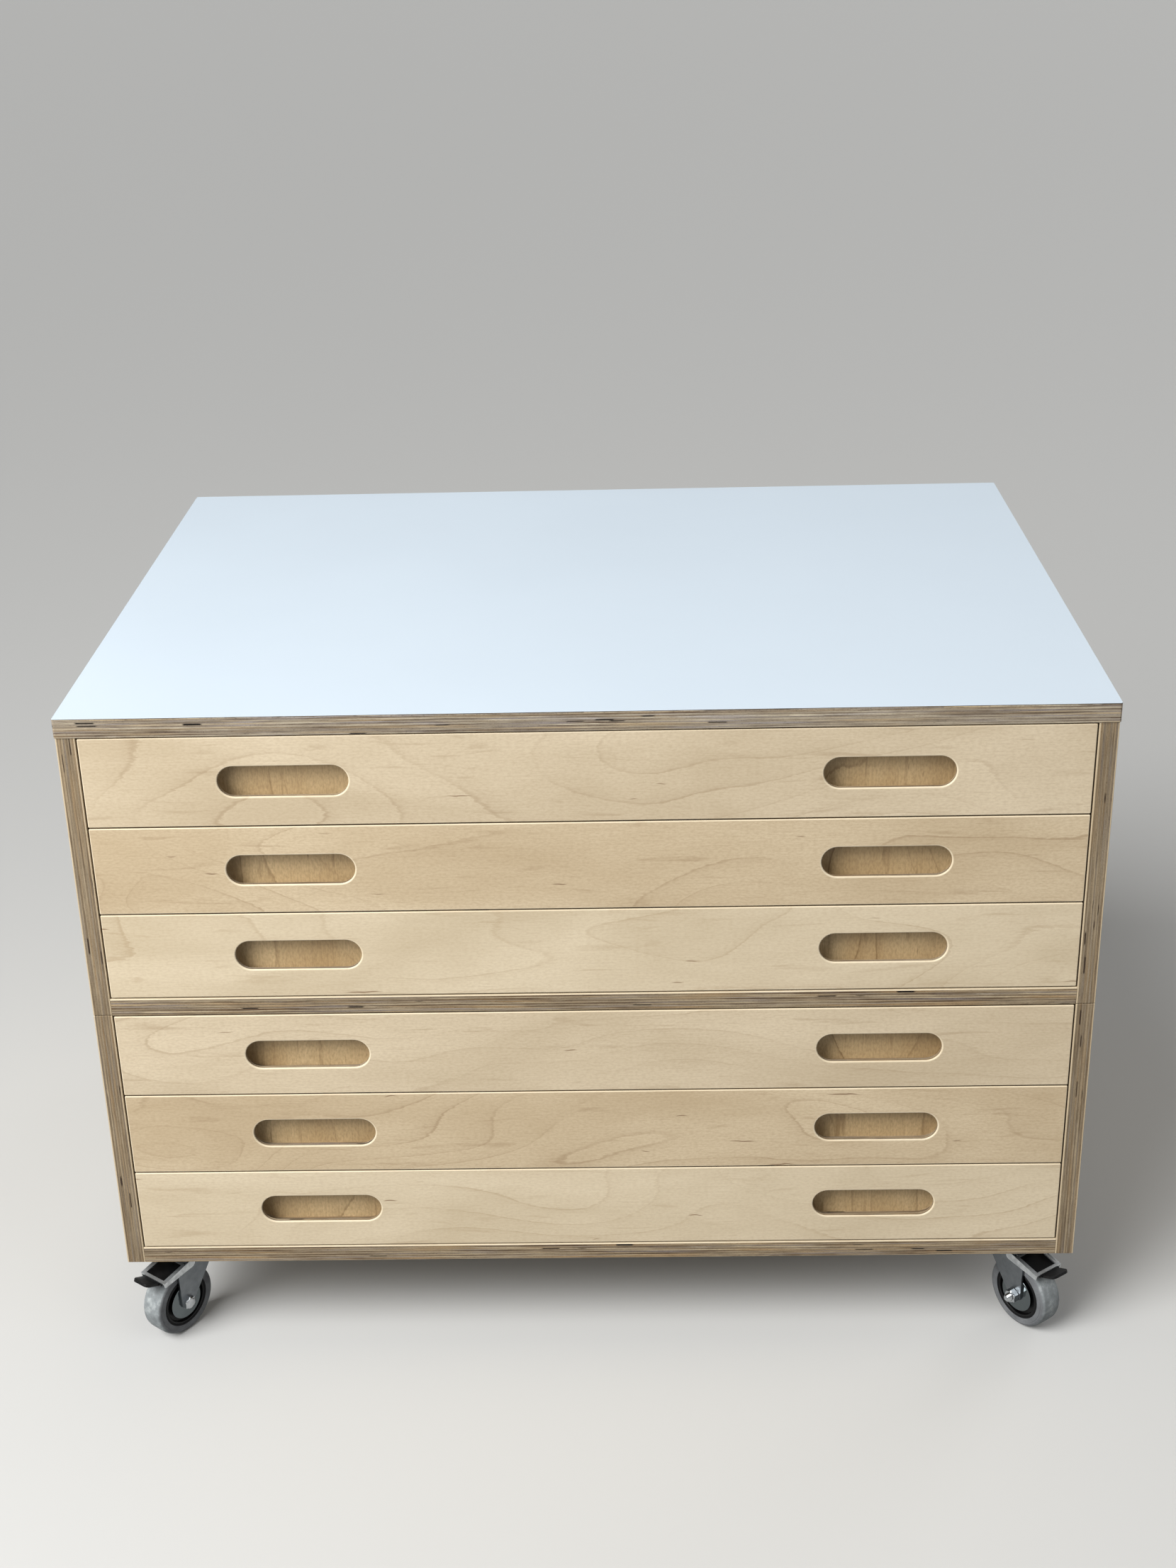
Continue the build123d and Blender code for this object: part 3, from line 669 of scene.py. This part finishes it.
def castor_axle(corner):
    """Bolt, nut and the two dished guard discs of one castor."""
    joint = wheel_joint(corner)
    node = f"{corner}_axle"

    def turned(name, profile, material, flats=None):
        lathe(f"{node}_{name}", profile, joint, f"{corner}_castor", [node], material, flats)

    top = LEG_OUTER + BOLT_HEAD
    turned("head", [(LEG_OUTER, POLE), (LEG_OUTER, NUT_CORNERS), (top - 0.0020, NUT_CORNERS),
                    (top - 0.0012, NUT_CHAMFER), (top - 0.0006, NUT_FLATS * 0.38),
                    (top - 0.0002, NUT_FLATS * 0.25), (top, POLE)], BRIGHT, NUT_FLATS)
    far = LEG_OUTER + NUT_HEIGHT
    turned("nut", [(-LEG_OUTER, AXLE_RADIUS), (-LEG_OUTER, NUT_CHAMFER), (-LEG_OUTER - 0.0006, NUT_CORNERS),
                   (-far + 0.0008, NUT_CORNERS), (-far, NUT_CHAMFER), (-far, AXLE_RADIUS + 0.0004),
                   (-far + 0.0004, AXLE_RADIUS)], BRIGHT, NUT_FLATS)
    shank = [(LEG_OUTER, POLE), (LEG_OUTER, AXLE_RADIUS)]
    root = AXLE_RADIUS - THREAD_DEPTH
    for k in range(int((BOLT_END - BOLT_CHAMFER) / THREAD_PITCH)):
        crest = -far - k * THREAD_PITCH
        shank += [(crest, AXLE_RADIUS), (crest - THREAD_PITCH * 0.45, root), (crest - THREAD_PITCH * 0.55, root)]
    shank += [(-far - BOLT_END + BOLT_CHAMFER, AXLE_RADIUS), (-far - BOLT_END, AXLE_RADIUS - BOLT_CHAMFER),
              (-far - BOLT_END, POLE)]
    turned("bolt", shank, BRIGHT)
    turned("left_guard", GUARD_DISC, GUARD_PAINTED_SHADE)
    turned("right_guard", flipped(GUARD_DISC), GUARD_PAINTED_SHADE)


def dress(node, material, bevel=EDGE_BREAK):
    """Keep a CAD node, with its own finish and slightly broken edges."""
    thing = frame["nodes"][node]
    thing.data.materials.clear()
    thing.data.materials.append(material)
    weld = thing.modifiers.new("join_faces", "WELD")
    weld.merge_threshold = WELD_REACH
    edges = thing.modifiers.new("broken_edges", "BEVEL")
    edges.width = bevel
    edges.segments = 2
    edges.limit_method = "ANGLE"
    edges.angle_limit = SHARP_ANGLE
    edges.use_clamp_overlap = True
    edges.harden_normals = True


# Carcass
for module in ("upper", "lower"):
    for side in ("left", "right"):
        node = f"{module}_{side}_side"
        low, high = (Vector(corner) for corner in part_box(node))
        if module == "upper":
            low.z += SEAM
        board(node + "_board", low, high, X, Y, "carcass", [node], faces=SIDE_BOARD)
    node = f"{module}_base"
    board(node + "_board", *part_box(node), Z, X, "carcass", [node])
    node = f"{module}_back"
    board(node + "_board", *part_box(node), Y, X, "carcass", [node])
board("top_ply", *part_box("top_panel"), Z, X, "carcass", ["top_panel"], faces=TOP_BOARD, corner=TOP_CORNER,
      arris=TOP_ARRIS)
board("top_sheet", *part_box("top_laminate"), Z, X, "carcass", ["top_laminate"], slot="white_laminate",
      faces=TOP_SHEET, corner=TOP_CORNER, arris=SHEET_ARRIS)

# Drawers
for number, face in enumerate(FRONTS, start=1):
    drawer_front(number, face)
    drawer_box(number)
    dress(f"drawer_{number}_runner_inner", RUNNER)
    dress(f"drawer_{number}_runner_middle", RUNNER)
dress("runner_outers", RUNNER)
dress("carcass_dowels", BEECH)

# Castors
dress("castor_plates", ZINC_PAINTED_SHADE)
dress("castor_screws", BRIGHT)
for end in ("front", "rear"):
    for side in ("left", "right"):
        corner = f"{end}_{side}"
        castor_wheel(corner)
        castor_axle(corner)
        dress(f"{corner}_fork", ZINC_PAINTED_SHADE, FORK_BREAK)
        if end == "front":
            dress(f"{corner}_brake_pedal", PEDAL, PEDAL_BREAK)
            dress(f"{corner}_brake_pad", PLASTIC, PAD_BREAK)


def seen_rays(tree):
    """A socket that is one for rays that show a surface, and zero for the rays that only carry its light on."""
    path = tree.nodes.new("ShaderNodeLightPath")
    total = path.outputs["Is Camera Ray"]
    for name in ("Is Glossy Ray", "Is Transmission Ray"):
        node = tree.nodes.new("ShaderNodeMath")
        node.operation = "MAXIMUM"
        tree.links.new(total, node.inputs[0])
        tree.links.new(path.outputs[name], node.inputs[1])
        total = node.outputs[0]
    return total


def add_floor(scene):
    """Pale floor that throws less light back than it shows."""
    bm = bmesh.new()
    bmesh.ops.create_grid(bm, x_segments=1, y_segments=1, size=FLOOR_SIZE)
    mesh = bpy.data.meshes.new("floor")
    bm.to_mesh(mesh)
    bm.free()
    floor = bpy.data.objects.new("floor", mesh)
    scene.collection.objects.link(floor)
    paint = Shader("pale_floor")
    colour = paint.mix(seen_rays(paint.tree), srgb(120, 120, 120), srgb(194, 194, 192))
    mesh.materials.append(paint.finish(Base_Color=colour, Roughness=0.9))


def add_light(scene):
    """Even room light, with a backdrop that looks paler, and the lamps."""
    world = bpy.data.worlds.new("soft_room")
    scene.world = world
    world.use_nodes = True
    tree = world.node_tree
    level = tree.nodes.new("ShaderNodeMapRange")
    level.inputs["To Min"].default_value = ROOM_LIGHT
    level.inputs["To Max"].default_value = BACKDROP
    tree.links.new(seen_rays(tree), level.inputs["Value"])
    tree.nodes["Background"].inputs["Color"].default_value = (1.0, 1.0, 1.0, 1.0)
    tree.links.new(level.outputs["Result"], tree.nodes["Background"].inputs["Strength"])
    for name, kind, place, aim, power, shape in LAMPS:
        light = bpy.data.lights.new(name, kind)
        light.energy = power
        for key, value in shape.items():
            setattr(light, key, value)
        lamp = bpy.data.objects.new(name, light)
        lamp.location = place
        lamp.rotation_euler = (Vector(aim) - Vector(place)).to_track_quat("-Z", "Y").to_euler()
        scene.collection.objects.link(lamp)


def add_camera(scene):
    """The photograph's camera."""
    lens = bpy.data.cameras.new("photo_camera")
    lens.sensor_fit = "VERTICAL"
    lens.sensor_height = SENSOR_HEIGHT
    lens.lens = CAMERA_LENS
    camera = bpy.data.objects.new("photo_camera", lens)
    camera.location = CAMERA_PLACE
    camera.rotation_euler = CAMERA_TURN
    scene.collection.objects.link(camera)
    scene.camera = camera


studio = bpy.context.scene
studio.view_settings.view_transform = "Standard"
add_floor(studio)
add_light(studio)
add_camera(studio)
